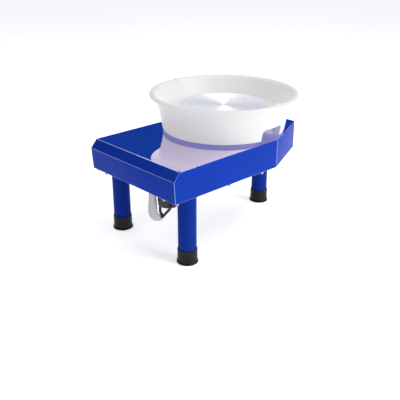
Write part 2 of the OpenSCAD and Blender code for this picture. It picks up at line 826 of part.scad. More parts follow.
module control_board() {
    color("#1f6b3a") at_wheel() translate([box_x + 4, box_y + 4, box_z + 8]) {
        cube([box_l - 8, box_w - 8, 1.6]);
        for (i = [0:2]) translate([20 + i * 22, 12, 1.6]) cylinder(r = 8, h = 22);
        translate([88, 4, 1.6]) cube([30, 24, 18]);
        for (i = [0:3]) translate([122 + 4 * i, 6, 1.6]) cube([2, 20, 12]);
    }
}

top_cover();
bottom_cover();
cover_screws();
leg_socket(legs[0]);  // leg_socket_left
leg_socket(legs[1]);  // leg_socket_right
leg_socket(legs[2]);  // leg_socket_front
leg_tube(legs[0]);  // leg_tube_left
leg_tube(legs[1]);  // leg_tube_right
leg_tube(legs[2]);  // leg_tube_front
foot_cap(legs[0]);  // foot_cap_left
foot_cap(legs[1]);  // foot_cap_right
foot_cap(legs[2]);  // foot_cap_front
basin_half(-1);  // basin_tail_half
basin_half(1);  // basin_end_half
basin_clips();
wheel_head();
head_screws();
spindle();
spindle_nut();
water_slinger();
shaft_seal();
bearing_housing();
housing_bolts();
bearing_outer(upper_bearing_z);  // upper_bearing_outer
bearing_inner(upper_bearing_z);  // upper_bearing_inner
bearing_outer(lower_bearing_z);  // lower_bearing_outer
bearing_inner(lower_bearing_z);  // lower_bearing_inner
bearing_balls();
driven_pulley();
drive_belt();
motor_pulley();
motor_plate();
motor_plate_bolts();
motor_front_cap();
motor_case();
motor_end_cap();
motor_rotor();
motor_brush_caps();
motor_leads();
lead_conduit();
conduit_grommet();
wiring_loom();
control_panel();
panel_screws();
mains_inlet();
inlet_pins();
fuse_cap();
switch_case(power_x);  // power_switch_case
rocker(power_x, power_rest, "#b3201f");  // power_rocker
switch_case(direction_x);  // direction_switch_case
rocker(direction_x, 0, "#1a1b1e");  // direction_rocker
speed_control();
speed_knob();
pedal_socket();
controller_box();
controller_lid();
control_board();
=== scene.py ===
# %% [markdown]
# # A pottery wheel
#
# The machine is a box of folded sheet steel on three tube legs. A motor under its tail turns a
# round aluminium wheel head through a belt, and a white basin in two halves catches the water.
# The engineering model is loaded first and never changes. Everything here is either a finish
# for one of its parts or a finer mesh that stands in for one.

# %% Load the engineering model
import math

import bmesh
import bpy
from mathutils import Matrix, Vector


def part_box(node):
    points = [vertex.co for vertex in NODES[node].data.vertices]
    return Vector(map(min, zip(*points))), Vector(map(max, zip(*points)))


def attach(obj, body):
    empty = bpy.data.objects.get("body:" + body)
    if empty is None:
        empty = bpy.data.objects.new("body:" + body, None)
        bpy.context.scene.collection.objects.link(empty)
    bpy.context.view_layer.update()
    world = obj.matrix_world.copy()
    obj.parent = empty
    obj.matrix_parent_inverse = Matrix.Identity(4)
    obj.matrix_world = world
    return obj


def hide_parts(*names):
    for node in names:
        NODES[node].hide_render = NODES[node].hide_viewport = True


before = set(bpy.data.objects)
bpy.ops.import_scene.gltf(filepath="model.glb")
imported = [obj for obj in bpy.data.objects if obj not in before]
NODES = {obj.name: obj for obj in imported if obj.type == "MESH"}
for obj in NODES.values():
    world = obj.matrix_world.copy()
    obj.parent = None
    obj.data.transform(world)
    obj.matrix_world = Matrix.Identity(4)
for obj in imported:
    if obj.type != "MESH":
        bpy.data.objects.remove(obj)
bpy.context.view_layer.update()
SCENE = bpy.context.scene
MM = 0.001

# %% [markdown]
# ## Where things are
#
# Every place is read from the engineering model, so that nothing has to be fitted by eye. The
# spindle gives the wheel's axis, and the top cover gives the plate that the basin stands on.

# %% Read the main places from the model
def middle(node):
    """The centre of a part's box."""
    low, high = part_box(node)
    return (low + high) / 2


AXIS_X = middle("spindle").x
PLATE_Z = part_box("top_cover")[1].z
TAIL_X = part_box("top_cover")[0].x
SIDE_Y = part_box("top_cover")[1].y
RIM_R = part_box("basin_end_half")[1].y
RIM_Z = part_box("basin_end_half")[1].z
BASIN_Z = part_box("basin_end_half")[0].z
HEAD_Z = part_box("wheel_head")[1].z
HEAD_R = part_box("wheel_head")[1].y
print("axis x", round(AXIS_X, 4), "plate z", round(PLATE_Z, 4), "rim radius", round(RIM_R, 4))

# %% [markdown]
# ## The camera
#
# The camera stands off the tail's right-hand corner, a little above a standing child's eyes,
# and looks down at the machine. A lens of 56 mm keeps the legs nearly parallel.

# %% Place the camera
CAMERA_FROM_AXIS = Vector((-1.213, -1.195, 0.8086))
LOOK_TURN = math.radians(46.774)
LOOK_DOWN = math.radians(24.09)
LENS = 56.38

camera_data = bpy.data.cameras.new("studio_camera")
camera_data.lens = LENS
camera_data.sensor_width = 36
camera_data.clip_start = 0.05
camera = bpy.data.objects.new("studio_camera", camera_data)
camera.location = Vector((AXIS_X, 0, 0)) + CAMERA_FROM_AXIS
camera.rotation_euler = (math.pi / 2 - LOOK_DOWN, 0, LOOK_TURN - math.pi / 2)
SCENE.collection.objects.link(camera)
SCENE.camera = camera
print("camera at", [round(v, 3) for v in camera.location])

# %% [markdown]
# ## The studio
#
# A pale floor fills the picture. One broad lamp on the right makes the long side brighter than
# the tail. A wide one high on the right lights the basin and draws the bright wedges on the
# wheel head, and a weak one lifts the shaded tail. A narrow one behind shines only in the folds.
# The world is dark near the horizon and bright overhead: the polished plate mirrors the
# horizon, so it stays deep blue wherever it doesn't mirror the basin. The camera itself sees
# white there.

# %% Build the lamps and the world
def soft_lamp(name, place, aim, size, watts):
    """A rectangular area lamp that faces a point."""
    data = bpy.data.lights.new(name, "AREA")
    data.shape = "RECTANGLE"
    data.size, data.size_y = size
    data.energy = watts
    lamp = bpy.data.objects.new(name, data)
    lamp.location = place
    lamp.rotation_euler = (Vector(aim) - Vector(place)).to_track_quat("-Z", "Y").to_euler()
    SCENE.collection.objects.link(lamp)
    return lamp


MACHINE = (0, 0, 0.25)
soft_lamp("key_lamp", (0.7, -2.4, 1.3), MACHINE, (1.5, 1.1), 41)
soft_lamp("sky_lamp", (0.95, -0.6, 2.5), MACHINE, (1.9, 1.9), 28)
soft_lamp("tail_lamp", (-2.5, -0.5, 0.9), MACHINE, (1.2, 1.0), 6)
soft_lamp("fold_lamp", (-0.2, 1.8, 2.2), MACHINE, (1.8, 0.5), 7)


def studio_world():
    """Pale overhead, dark near the horizon, with a deep blue backdrop beyond the machine."""
    made = bpy.data.worlds.new("studio_world")
    made.use_nodes = True
    nodes, links = made.node_tree.nodes, made.node_tree.links

    def ramp(source, low, high):
        step = nodes.new("ShaderNodeMapRange")
        step.interpolation_type = "SMOOTHSTEP"
        step.inputs["From Min"].default_value = low
        step.inputs["From Max"].default_value = high
        links.new(source, step.inputs["Value"])
        return step.outputs["Result"]

    def blend(amount, first, second):
        step = nodes.new("ShaderNodeMix")
        step.data_type = "RGBA"
        links.new(amount, step.inputs[0])
        for socket, value in ((step.inputs[6], first), (step.inputs[7], second)):
            if isinstance(value, tuple):
                socket.default_value = (*value, 1)
            else:
                links.new(value, socket)
        return step.outputs[2]

    where = nodes.new("ShaderNodeTexCoord").outputs["Generated"]
    split = nodes.new("ShaderNodeSeparateXYZ")
    ahead = nodes.new("ShaderNodeVectorMath")
    ahead.operation = "DOT_PRODUCT"
    ahead.inputs[1].default_value = (math.cos(LOOK_TURN), math.sin(LOOK_TURN), 0)
    links.new(where, split.inputs["Vector"])
    links.new(where, ahead.inputs[0])
    horizon = blend(ramp(ahead.outputs["Value"], 0.5, 0.8), (0.02, 0.02, 0.022), BACKDROP)
    sky = blend(ramp(split.outputs["Z"], 0.55, 0.85), horizon, (0.56, 0.57, 0.60))
    seen = nodes.new("ShaderNodeLightPath").outputs["Is Camera Ray"]
    links.new(blend(seen, sky, PAPER_WHITE), nodes["Background"].inputs["Color"])
    return made


BACKDROP = (0.008, 0.045, 0.30)
PAPER_WHITE = (1.0, 1.0, 1.0)
SCENE.world = studio_world()
SCENE.view_settings.view_transform = "Standard"

floor_mesh = bpy.data.meshes.new("studio_floor")
floor_mesh.from_pydata([(-9, -9, 0), (9, -9, 0), (9, 9, 0), (-9, 9, 0)], [], [(0, 1, 2, 3)])
studio_floor = bpy.data.objects.new("studio_floor", floor_mesh)
SCENE.collection.objects.link(studio_floor)

# %% [markdown]
# ## Writing shader maths as Python
#
# A finish is a small network of nodes. The class below wraps one output of a node, so that
# `noise * 0.2 + 0.1` adds the Math nodes by itself. Numbers that don't vary are worked out in
# Python and set on the shader's own sockets.

# %% Wrap a node's output
class Wire:
    """One output socket of a material's network, with arithmetic."""

    def __init__(self, finish, socket):
        self.finish, self.socket = finish, socket

    def _math(self, operation, first, second):
        settings = {"operation": operation}
        return self.finish.node("ShaderNodeMath", settings, {0: first, 1: second})

    def __add__(self, other):
        return self._math("ADD", self, other)

    def __sub__(self, other):
        return self._math("SUBTRACT", self, other)

    def __rsub__(self, other):
        return self._math("SUBTRACT", other, self)

    def __mul__(self, other):
        return self._math("MULTIPLY", self, other)

    def __pow__(self, other):
        return self._math("POWER", self, other)

    __radd__, __rmul__ = __add__, __mul__

    def part(self, index):
        """One coordinate of a vector."""
        return self.finish.node("ShaderNodeSeparateXYZ", {}, {0: self}, output=index)

    def between(self, low, high):
        """0 below low and 1 above high, with a smooth rise."""
        settings = {"interpolation_type": "SMOOTHSTEP"}
        return self.finish.node("ShaderNodeMapRange", settings, {0: self, 1: low, 2: high})


# %% [markdown]
# A `Finish` is one material. Its `node` method makes any node, sets it up and joins its inputs.
# The other methods are the few patterns that several finishes share: grain, bumps and mixes.

# %% Make a material
class Finish:
    """A Principled material whose varying values are fed by Wires."""

    def __init__(self, name, color, roughness, **constants):
        self.material = bpy.data.materials.new(name)
        self.material.use_nodes = True
        self.tree = self.material.node_tree
        self.shader = self.tree.nodes["Principled BSDF"]
        self.set("Base Color", (*color, 1))
        self.set("Roughness", roughness)
        for socket, value in constants.items():
            self.set(socket.replace("_", " "), value)
        self.material.diffuse_color = (*color, 1)

    def node(self, kind, settings, inputs, output=0):
        made = self.tree.nodes.new(kind)
        for key, value in settings.items():
            setattr(made, key, value)
        for key, value in inputs.items():
            self.feed(made.inputs[key], value)
        return Wire(self, made.outputs[output])

    def feed(self, socket, value):
        if isinstance(value, Wire):
            self.tree.links.new(value.socket, socket)
        else:
            socket.default_value = value

    def set(self, name, value):
        self.feed(self.shader.inputs[name], value)

    def place(self, scale=(1, 1, 1), centre=(0, 0, 0)):
        """Object coordinates, measured from a centre and stretched."""
        where = self.node("ShaderNodeTexCoord", {}, {}, output="Object")
        moved = self.node("ShaderNodeVectorMath", {"operation": "SUBTRACT"}, {0: where, 1: centre})
        return self.node("ShaderNodeVectorMath", {"operation": "MULTIPLY"}, {0: moved, 1: scale})

    def second_coat(self, color, roughness):
        """A mirror-like metal layer."""
        inputs = {"Base Color": (*color, 1), "Roughness": roughness, "Metallic": 1.0}
        return self.node("ShaderNodeBsdfPrincipled", {}, inputs)

    def cover(self, layer, amount):
        """Let a second shader cover the first by a varying amount."""
        first = Wire(self, self.shader.outputs["BSDF"])
        both = self.node("ShaderNodeMixShader", {}, {0: amount, 1: first, 2: layer})
        self.tree.links.new(both.socket, self.tree.nodes["Material Output"].inputs["Surface"])

    def grain(self, scale, detail=3, rough=0.5, at=None):
        inputs = {"Vector": at or self.place(), "Scale": scale, "Detail": detail, "Roughness": rough}
        return self.node("ShaderNodeTexNoise", {}, inputs)

    def mix(self, first, second, amount):
        """A colour between two colours."""
        settings = {"data_type": "RGBA"}
        first, second = (c if isinstance(c, Wire) else (*c, 1) for c in (first, second))
        return self.node("ShaderNodeMix", settings, {0: amount, 6: first, 7: second}, output=2)

    def bumps(self, *layers):
        """Stack bump layers, each a height and how deep it goes in metres."""
        normal = None
        for height, depth in layers:
            inputs = {"Height": height, "Distance": depth, "Strength": 1.0}
            if normal:
                inputs["Normal"] = normal
            normal = self.node("ShaderNodeBump", {}, inputs)
        self.set("Normal", normal)


# %% [markdown]
# ## The finishes
#
# Each finish has its main colour and the small things that keep it from looking like a flat
# fill: the orange peel of powder coat, the fine pull lines of moulded plastic, the rings that a
# lathe leaves, rub marks and dust. The body's coat mirrors at a slant and shows its own blue
# from above, as lacquer does. On the top plate that blue is painted lighter, for the stronger
# light from above, and the legs' tubes get a darker copy of the coat, a painted shade.

# %% Blue powder coat
BLUE = (0.0075, 0.045, 0.40)
BLUE_DEEP = (0.005, 0.034, 0.34)
# the top plate's blue: lighter than the sides' for the stronger light from above, a painted light
BLUE_PLATE_PAINTED_LIGHT = (0.010, 0.065, 0.55)
MIRROR_TINT = (0.92, 0.82, 1.0)


def blue_coat(name, shade=1.0):
    """Powder coat: satin on the sides, polished to a mirror on the flat top plate."""
    finish = Finish(name, BLUE, 0.4, Specular_IOR_Level=0.03)
    broad = finish.grain(5, 2)
    peel = finish.grain(420, 2)
    rub = finish.grain(38, 5, 0.7).between(0.62, 0.74)
    on_plate = finish.place().part(2).between(PLATE_Z - 0.8 * MM, PLATE_Z - 0.2 * MM)
    # shade below 1 darkens the whole coat: a painted shade, used for the legs' tubes
    coat = finish.mix([c * shade for c in BLUE], [c * shade for c in BLUE_DEEP], broad)
    # the top plate takes the lighter painted blue
    finish.set("Base Color", finish.mix(coat, BLUE_PLATE_PAINTED_LIGHT, on_plate))
    finish.set("Roughness", 0.34 + 0.10 * broad + 0.08 * rub)
    finish.bumps((peel, 0.00003), (broad, 0.0004))
    polish = finish.second_coat(MIRROR_TINT, 0.035 + 0.03 * rub)
    slant = finish.node("ShaderNodeLayerWeight", {}, {"Blend": 0.5}, output="Facing")
    gloss = 0.07 + 0.84 * slant.between(0.1, 0.58)
    finish.cover(polish, on_plate * gloss - 0.04 * rub * on_plate)
    return finish.material


BLUE_COAT = blue_coat("blue_powder_coat")
# the legs' tubes: the same coat with its colour times 0.72, a painted shade
BLUE_TUBE_PAINTED_SHADE = blue_coat("blue_tube_coat_painted_shade", 0.72)

# %% [markdown]
# Where the sheet bends, the coat is thinner and hands have polished it, so those narrow faces
# get a shinier paint. They are also painted paler than the body, a painted highlight, so they
# show as thin bright lines. The fold between the top plate and the tail bevel gets a near-white
# painted highlight.

# %% Polished bends, with a painted highlight
# the bends' blues are paler than the body's: a painted highlight, paler still in random patches; the
# near-white one is the painted highlight along the tail fold
BEND_HIGHLIGHT_BLUE = (0.02, 0.08, 0.50)
BEND_HIGHLIGHT_PATCH_BLUE = (0.07, 0.15, 0.62)
TAIL_FOLD_HIGHLIGHT = (0.62, 0.68, 0.95)
# the painted highlight on the tail fold: how far below the plate, in from the tail and in from the sides
# it reaches
TAIL_FOLD_HIGHLIGHT_DEPTH = (2.4 * MM, 1.2 * MM)
TAIL_FOLD_HIGHLIGHT_LENGTH = (80 * MM, 100 * MM)
TAIL_FOLD_HIGHLIGHT_MARGIN = (6 * MM, 3 * MM)


def blue_bend():
    finish = Finish("blue_bend_painted_highlight", (0.03, 0.09, 0.5), 0.2, Specular_IOR_Level=0.6)
    finish.set("Coat Weight", 0.8)
    finish.set("Coat IOR", 2.8)
    finish.set("Coat Roughness", 0.1)
    # random patches: rougher, and paler as part of the painted highlight
    wear_and_highlight_patches = finish.grain(24, 4, 0.65).between(0.4, 0.7)
    where = finish.place()
    on_top = where.part(2).between(*(PLATE_Z - depth for depth in TAIL_FOLD_HIGHLIGHT_DEPTH))
    at_tail = 1 - where.part(0).between(*(TAIL_X + length for length in TAIL_FOLD_HIGHLIGHT_LENGTH))
    inboard = 1 - (where.part(1) ** 2).between(*((SIDE_Y - margin) ** 2 for margin in TAIL_FOLD_HIGHLIGHT_MARGIN))
    paint = finish.mix(BEND_HIGHLIGHT_BLUE, BEND_HIGHLIGHT_PATCH_BLUE, wear_and_highlight_patches)
    # the near-white painted highlight along the fold at the tail
    finish.set("Base Color", finish.mix(paint, TAIL_FOLD_HIGHLIGHT, on_top * at_tail * inboard))
    finish.set("Roughness", 0.16 + 0.12 * wear_and_highlight_patches)
    finish.bumps((finish.grain(420, 2), 0.00002))
    return finish.material


BLUE_BEND = blue_bend()

# %% [markdown]
# The feet are moulded rubber and the underside is painted black. Both are nearly black, so
# what tells them apart is roughness: rubber is dull and dusty, paint has a soft sheen.

# %% Rubber, black paint and black plastic
def speckled(name, color, worn, roughness, scale, depth, **constants):
    """A plain material with fine grain, worn or dusty in patches."""
    finish = Finish(name, color, roughness, **constants)
    patches = finish.grain(scale / 9, 4, 0.6).between(0.45, 0.75)
    fine = finish.grain(scale, 3, 0.6)
    finish.set("Base Color", finish.mix(color, worn, patches * 0.6))
    finish.set("Roughness", (roughness - 0.05) + 0.12 * patches)
    finish.bumps((fine, depth))
    return finish.material


FOOT_RUBBER = speckled("foot_rubber", (0.006, 0.006, 0.0065), (0.016, 0.016, 0.016), 0.42, 700, 0.00008,
                       Specular_IOR_Level=0.22)
SEAL_RUBBER = speckled("seal_rubber", (0.014, 0.014, 0.014), (0.03, 0.03, 0.03), 0.6, 900, 0.00005)
BELT_RUBBER = speckled("belt_rubber", (0.016, 0.016, 0.017), (0.05, 0.05, 0.05), 0.7, 1200, 0.00006)
BLACK_COAT = speckled("black_coat", (0.015, 0.015, 0.017), (0.03, 0.03, 0.032), 0.4, 500, 0.00004)
MOTOR_COAT = speckled("motor_coat", (0.008, 0.008, 0.009), (0.02, 0.02, 0.022), 0.28, 400, 0.00003)
BLACK_PLASTIC = speckled("black_plastic", (0.013, 0.013, 0.015), (0.02, 0.02, 0.022), 0.42, 1500, 0.00003)
LEAD_SHEATH = speckled("lead_sheath", (0.009, 0.009, 0.010), (0.02, 0.02, 0.02), 0.45, 1100, 0.00003)
RED_PLASTIC = speckled("red_plastic", (0.50, 0.012, 0.012), (0.42, 0.01, 0.01), 0.22, 900, 0.00002)
BOARD_GREEN = speckled("board_green", (0.012, 0.12, 0.045), (0.02, 0.16, 0.06), 0.35, 500, 0.00006)

# %% [markdown]
# The basin is thick, satin, injection-moulded plastic. Light goes a little way into it, so it
# gets a touch of subsurface scattering. It also gets a painted glow, an even emission that
# stands in for light through the wall; under the basin the painted glow is blue, for the light
# that the plate throws up. Faint pull lines run round it.

# %% White moulded plastic
WHITE = (0.39, 0.392, 0.388)
WHITE_WORN = (0.345, 0.343, 0.334)
# the basin's painted glow: near white on the wall and inside, blue underneath for the light the plate
# throws up
PAINTED_GLOW = (1.0, 0.99, 0.975)
PAINTED_GLOW_UNDER = (0.40, 0.42, 0.78)
PAINTED_GLOW_STRENGTH = 0.42
# where the underside's blue painted glow gives way to the wall's: two heights and a radius
WALL_FROM = (BASIN_Z + 7.5 * MM, BASIN_Z + 10 * MM)
FLOOR_FROM = (PLATE_Z + 40.5 * MM, PLATE_Z + 42 * MM)
OUTSIDE_FROM = (169 * MM, 169.8 * MM)


def white_plastic():
    finish = Finish("white_plastic", WHITE, 0.4, Specular_IOR_Level=0.3, Coat_Roughness=0.3)
    finish.set("Subsurface Weight", 0.12)
    finish.set("Subsurface Radius", (0.012, 0.012, 0.011))
    finish.set("Subsurface Scale", 0.25)
    finish.set("Coat Weight", 0.08)
    where = finish.place(centre=(AXIS_X, 0, 0))
    across = (where.part(0) ** 2 + where.part(1) ** 2) ** 0.5
    height = finish.place().part(2)
    above_edge = height.between(*WALL_FROM)
    outside = across.between(*OUTSIDE_FROM)
    above_floor = height.between(*FLOOR_FROM)
    lit = above_floor + (1 - above_floor) * above_edge * outside
    # painted glow: an emission that stands in for light, blue under the basin
    finish.set("Emission Color", finish.mix(PAINTED_GLOW_UNDER, PAINTED_GLOW, lit))
    finish.set("Emission Strength", PAINTED_GLOW_STRENGTH)
    broad = finish.grain(9, 3)
    pull = finish.grain(14, 4, 0.5, finish.place((1, 1, 16)))
    scuff = finish.grain(60, 6, 0.75).between(0.6, 0.72)
    finish.set("Base Color", finish.mix(WHITE, WHITE_WORN, 0.15 * broad + 0.25 * scuff))
    finish.set("Roughness", 0.38 + 0.08 * pull + 0.10 * scuff)
    finish.bumps((pull, 0.00025), (finish.grain(900, 2), 0.00002))
    return finish.material


WHITE_PLASTIC = white_plastic()

# %% [markdown]
# The sheath round the motor's leads is soft, half-clear plastic. It is grey where it is thick.

# %% Pale sheath
def pale_sheath():
    finish = Finish("pale_sheath", (0.80, 0.81, 0.82), 0.16, Transmission_Weight=0.45, IOR=1.35)
    cloud = finish.grain(45, 4, 0.6)
    finish.set("Base Color", finish.mix((0.84, 0.85, 0.86), (0.62, 0.63, 0.66), cloud))
    finish.set("Roughness", 0.10 + 0.16 * cloud)
    finish.bumps((finish.grain(160, 3), 0.0002))
    return finish.material


PALE_SHEATH = pale_sheath()

# %% [markdown]
# The wheel head is faced on a lathe. The tool leaves rings a fraction of a millimetre apart,
# which is why a turned disc shows two bright wedges and two dark ones. The rings are a bump
# that depends on the distance from the axis, and anisotropy stretches the highlights. The head
# gets a little painted glow, an emission that stands in for the light that the white basin
# throws back at it.

# %% Metals
GROOVE_TURN = 0.31


def turned_metal(name, color, centre, pitch, roughness=0.26, anisotropy=0.75, metal=1.0, painted_glow=0.0):
    """Metal with lathe rings round a vertical axis."""
    finish = Finish(name, color, roughness, Metallic=metal, Anisotropic=anisotropy)
    finish.set("Emission Color", (1.0, 0.99, 0.97, 1))
    # the glow is painted light: an emission that stands in for light thrown back by the basin
    finish.set("Emission Strength", painted_glow)
    finish.set("Anisotropic Rotation", GROOVE_TURN)
    where = finish.place(centre=centre)
    across = (where.part(0) ** 2 + where.part(1) ** 2) ** 0.5
    wobble = finish.grain(30, 2)
    rings = finish.node("ShaderNodeMath", {"operation": "SINE"}, {0: across * (2 * math.pi / pitch)})
    bands = finish.grain(1, 4, 0.6, finish.node("ShaderNodeCombineXYZ", {}, {0: across * 260}))
    shade = tuple(c * 0.82 for c in color)
    finish.set("Base Color", finish.mix(color, shade, 0.6 * bands + 0.2 * wobble))
    finish.set("Roughness", (roughness - 0.06) + 0.14 * bands)
    finish.bumps((rings, 0.000003), (bands, 0.000012))
    return finish.material


def plain_metal(name, color, roughness, scale=600, depth=0.00002):
    """Plated, ground or cast metal."""
    finish = Finish(name, color, roughness, Metallic=1.0)
    cloud = finish.grain(scale / 12, 4, 0.6)
    fine = finish.grain(scale, 2)
    shade = tuple(c * 0.7 for c in color)
    finish.set("Base Color", finish.mix(color, shade, cloud.between(0.4, 0.8)))
    finish.set("Roughness", (roughness - 0.04) + 0.12 * cloud)
    finish.bumps((fine, depth))
    return finish.material


HEAD_CENTRE = (AXIS_X, 0, HEAD_Z)
# the wheel head's glow of 0.18 is painted light, for the light that the basin throws back
TURNED_ALUMINIUM = turned_metal("turned_aluminium", (0.93, 0.93, 0.93), HEAD_CENTRE, 0.0011, 0.6, 0.7,
                               metal=0.65, painted_glow=0.18)
TURNED_PULLEY = turned_metal("turned_pulley", (0.62, 0.63, 0.65), HEAD_CENTRE, 0.0016, 0.34, 0.4)
MOTOR_CENTRE = tuple(middle("motor_pulley"))
TURNED_SMALL = turned_metal("turned_small_pulley", (0.62, 0.63, 0.65), MOTOR_CENTRE, 0.0010, 0.3, 0.4)
BRIGHT_ZINC = plain_metal("bright_zinc", (0.74, 0.75, 0.77), 0.22)
DULL_ZINC = plain_metal("dull_zinc", (0.40, 0.39, 0.39), 0.42)
GROUND_STEEL = plain_metal("ground_steel", (0.68, 0.69, 0.70), 0.16, 900)
BLACK_OXIDE = plain_metal("black_oxide", (0.07, 0.07, 0.08), 0.38)
CAST_IRON = plain_metal("cast_iron", (0.16, 0.165, 0.17), 0.62, 260, 0.0003)
SHEET_ALUMINIUM = plain_metal("sheet_aluminium", (0.60, 0.61, 0.63), 0.36)
BRASS = plain_metal("plated_brass", (0.78, 0.60, 0.30), 0.25)
COPPER = plain_metal("lacquered_copper", (0.55, 0.25, 0.11), 0.32, 1500, 0.0002)
NICKEL = plain_metal("nickel_plate", (0.62, 0.63, 0.65), 0.2)

# %% [markdown]
# ## Dressing the engineering parts
#
# Most parts already have the right shape and only need a finish. The table says which finish
# each one gets; the parts that are rebuilt further down are hidden there.

# %% Give every engineering part its finish
DRESS = {
    BLUE_COAT: ("top_cover",),
    BLUE_TUBE_PAINTED_SHADE: ("leg_tube_left", "leg_tube_right", "leg_tube_front"),
    BLACK_COAT: ("bottom_cover", "control_panel"),
    BRIGHT_ZINC: ("cover_screws", "housing_bolts", "motor_plate_bolts", "panel_screws"),
    DULL_ZINC: ("leg_socket_left", "leg_socket_right", "leg_socket_front", "spindle_nut",
                "motor_plate", "motor_front_cap"),
    FOOT_RUBBER: ("foot_cap_left", "foot_cap_right", "foot_cap_front"),
    WHITE_PLASTIC: ("basin_tail_half", "basin_end_half", "basin_clips"),
    TURNED_ALUMINIUM: ("wheel_head",),
    TURNED_PULLEY: ("driven_pulley",),
    TURNED_SMALL: ("motor_pulley",),
    BLACK_OXIDE: ("head_screws",),
    GROUND_STEEL: ("spindle", "upper_bearing_outer", "upper_bearing_inner",
                   "lower_bearing_outer", "lower_bearing_inner", "bearing_balls"),
    SEAL_RUBBER: ("water_slinger", "shaft_seal", "conduit_grommet"),
    CAST_IRON: ("bearing_housing",),
    BELT_RUBBER: ("drive_belt",),
    MOTOR_COAT: ("motor_case", "motor_end_cap"),
    COPPER: ("motor_rotor",),
    BLACK_PLASTIC: ("motor_brush_caps", "mains_inlet", "fuse_cap",
                    "power_switch_case", "direction_switch_case", "direction_rocker", "speed_knob"),
    LEAD_SHEATH: ("motor_leads", "wiring_loom"),
    SHEET_ALUMINIUM: ("controller_box", "controller_lid"),
    PALE_SHEATH: ("lead_conduit",),
    BRASS: ("inlet_pins",),
    RED_PLASTIC: ("power_rocker",),
    NICKEL: ("speed_control", "pedal_socket"),
    BOARD_GREEN: ("control_board",),
}
for coat, names in DRESS.items():
    for name in names:
        NODES[name].data.materials.clear()
        NODES[name].data.materials.append(coat)
print("dressed", sum(len(names) for names in DRESS.values()), "of", len(NODES), "parts")


def floor_finish():
    finish = Finish("studio_paper", (0.93, 0.93, 0.93), 0.9, Specular_IOR_Level=0.0)
    finish.set("Emission Strength", 0.62)
    finish.set("Emission Color", (1, 1, 1, 1))
    cloud = finish.grain(3, 3)
    finish.set("Base Color", finish.mix((0.93, 0.93, 0.93), (0.91, 0.915, 0.925), cloud))
    return finish.material


floor_mesh.materials.append(floor_finish())

# %% [markdown]
# ## Tools for building meshes
#
# Three ways of making a piece come up again and again: a copy of an engineering part with its
# corners rounded, a section turned round an axis, and a plain mesh taken from a modifier.

# %% Mesh tools
def new_piece(name, mesh, body, replaced=(), materials=()):
    """Link a mesh as a piece of the machine, riding on a body."""
    piece = bpy.data.objects.new(name, mesh)
    SCENE.collection.objects.link(piece)
    for material in materials:
        mesh.materials.append(material)
    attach(piece, body)
    if replaced:
        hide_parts(*replaced)
    return piece


def smooth(mesh, angle=32):
    """Smooth shading with sharp edges where faces meet steeply."""
    for face in mesh.polygons:
        face.use_smooth = True
    mesh.set_sharp_from_angle(angle=math.radians(angle))


def merged(node, flat=1.0):
    """An engineering part as a bmesh, its loose triangles joined into whole faces."""
    shape = bmesh.new()
    shape.from_mesh(NODES[node].data)
    bmesh.ops.remove_doubles(shape, verts=shape.verts, dist=0.005 * MM)
    bmesh.ops.dissolve_limit(shape, angle_limit=math.radians(flat), verts=shape.verts,
                             edges=shape.edges)
    bmesh.ops.recalc_face_normals(shape, faces=shape.faces)
    return shape


def to_mesh(shape, name):
    mesh = bpy.data.meshes.new(name)
    shape.to_mesh(mesh)
    shape.free()
    return mesh


def arc(x, z, across, up, start, end, steps):
    """Points on part of an ellipse, from one angle to another in degrees."""
    turns = [math.radians(start + (end - start) * i / steps) for i in range(steps + 1)]
    return [(x + across * math.cos(t), z + up * math.sin(t)) for t in turns]


def lathe(section, name, centre=(0, 0), start=0, sweep=360, steps=144):
    """Turn a closed section of (radius, height) points round a vertical axis."""
    shape = bmesh.new()
    whole = sweep == 360
    rings = []
    for i in range(steps if whole else steps + 1):
        turn = math.radians(start + sweep * i / steps)
        c, s = math.cos(turn), math.sin(turn)
        rings.append([shape.verts.new((centre[0] + r * c, centre[1] + r * s, z)) for r, z in section])
    count = len(section)
    for i in range(steps):
        here, there = rings[i], rings[(i + 1) % len(rings)]
        for j in range(count):
            k = (j + 1) % count
            shape.faces.new((here[j], there[j], there[k], here[k]))
    if not whole:
        shape.faces.new(rings[0])
        shape.faces.new(list(reversed(rings[-1])))
    bmesh.ops.remove_doubles(shape, verts=shape.verts, dist=0.005 * MM)
    bmesh.ops.recalc_face_normals(shape, faces=shape.faces)
    return to_mesh(shape, name)


def applied(piece):
    """The piece's mesh with its modifiers worked in."""
    bpy.context.view_layer.update()
    ready = piece.evaluated_get(bpy.context.evaluated_depsgraph_get())
    return bpy.data.meshes.new_from_object(ready)


# %% [markdown]
# ## The body
#
# The real body is one sheet, folded down on every side. A fold has a radius, so the long outer
# corners are rounded by 2.6 mm. Only edges between two large faces are folds; the small holes
# and slots keep their cut edges.

# %% Round the folds of the body
FOLD = 2.6 * MM
LARGE_FACE = 0.0018


def folded_body():
    shape = merged("top_cover")
    folds = []
    for edge in shape.edges:
        if len(edge.link_faces) == 2 and edge.is_convex:
            if min(face.calc_area() for face in edge.link_faces) > LARGE_FACE:
                if edge.calc_face_angle() > math.radians(12) and edge.calc_length() > 20 * MM:
                    folds.append(edge)
    made = bmesh.ops.bevel(shape, geom=folds, offset=FOLD, segments=4, profile=0.5,
                           affect="EDGES", clamp_overlap=True)
    for face in made["faces"]:
        face.material_index = 1
    print("rounded", len(folds), "folds")
    return to_mesh(shape, "folded_body")


body = new_piece("folded_body", folded_body(), "chassis", ("top_cover",),
                 (BLUE_COAT, BLUE_BEND))
smooth(body.data, 28)

# %% [markdown]
# ## The basin
#
# The basin is moulded in two halves that meet on a seam across the machine. Both come from the
# same section: a ring that it stands on, a step out to the leaning wall, a rolled lip, a floor
# and a low collar round the spindle. Each half is that section turned through half a turn.

